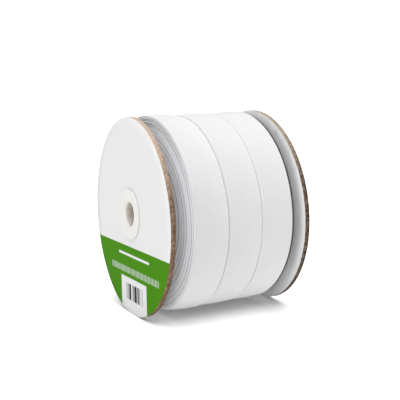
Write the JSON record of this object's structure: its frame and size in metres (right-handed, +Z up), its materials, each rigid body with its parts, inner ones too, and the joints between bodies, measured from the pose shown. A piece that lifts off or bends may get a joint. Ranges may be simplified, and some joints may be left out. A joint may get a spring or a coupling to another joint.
{
  "type": "roll of elastic on a spool",
  "caption": "Roll of white knitted elastic wound in columns side by side between round card discs, on a flanged plastic hub bored for a spindle.",
  "frame": {"origin": "middle of the footprint, on the surface that the roll stands on", "axes": "+Z up, X along the spool's axis with the printed disc towards -X, Y across the roll"},
  "size_m": [0.0808, 0.108, 0.1077],
  "materials": {
    "knit_elastic": "white knitted elastic with fine lengthwise ribs",
    "card": "card faced with smooth white paper, brown at its cut edge",
    "hub_plastic": "moulded off-white plastic with a slight sheen"
  },
  "bodies": {
    "root": {"elastic": "knit_elastic", "disc_front": "card", "disc_back": "card", "hub_front": "hub_plastic", "hub_back": "hub_plastic"}
  },
  "joints": []
}
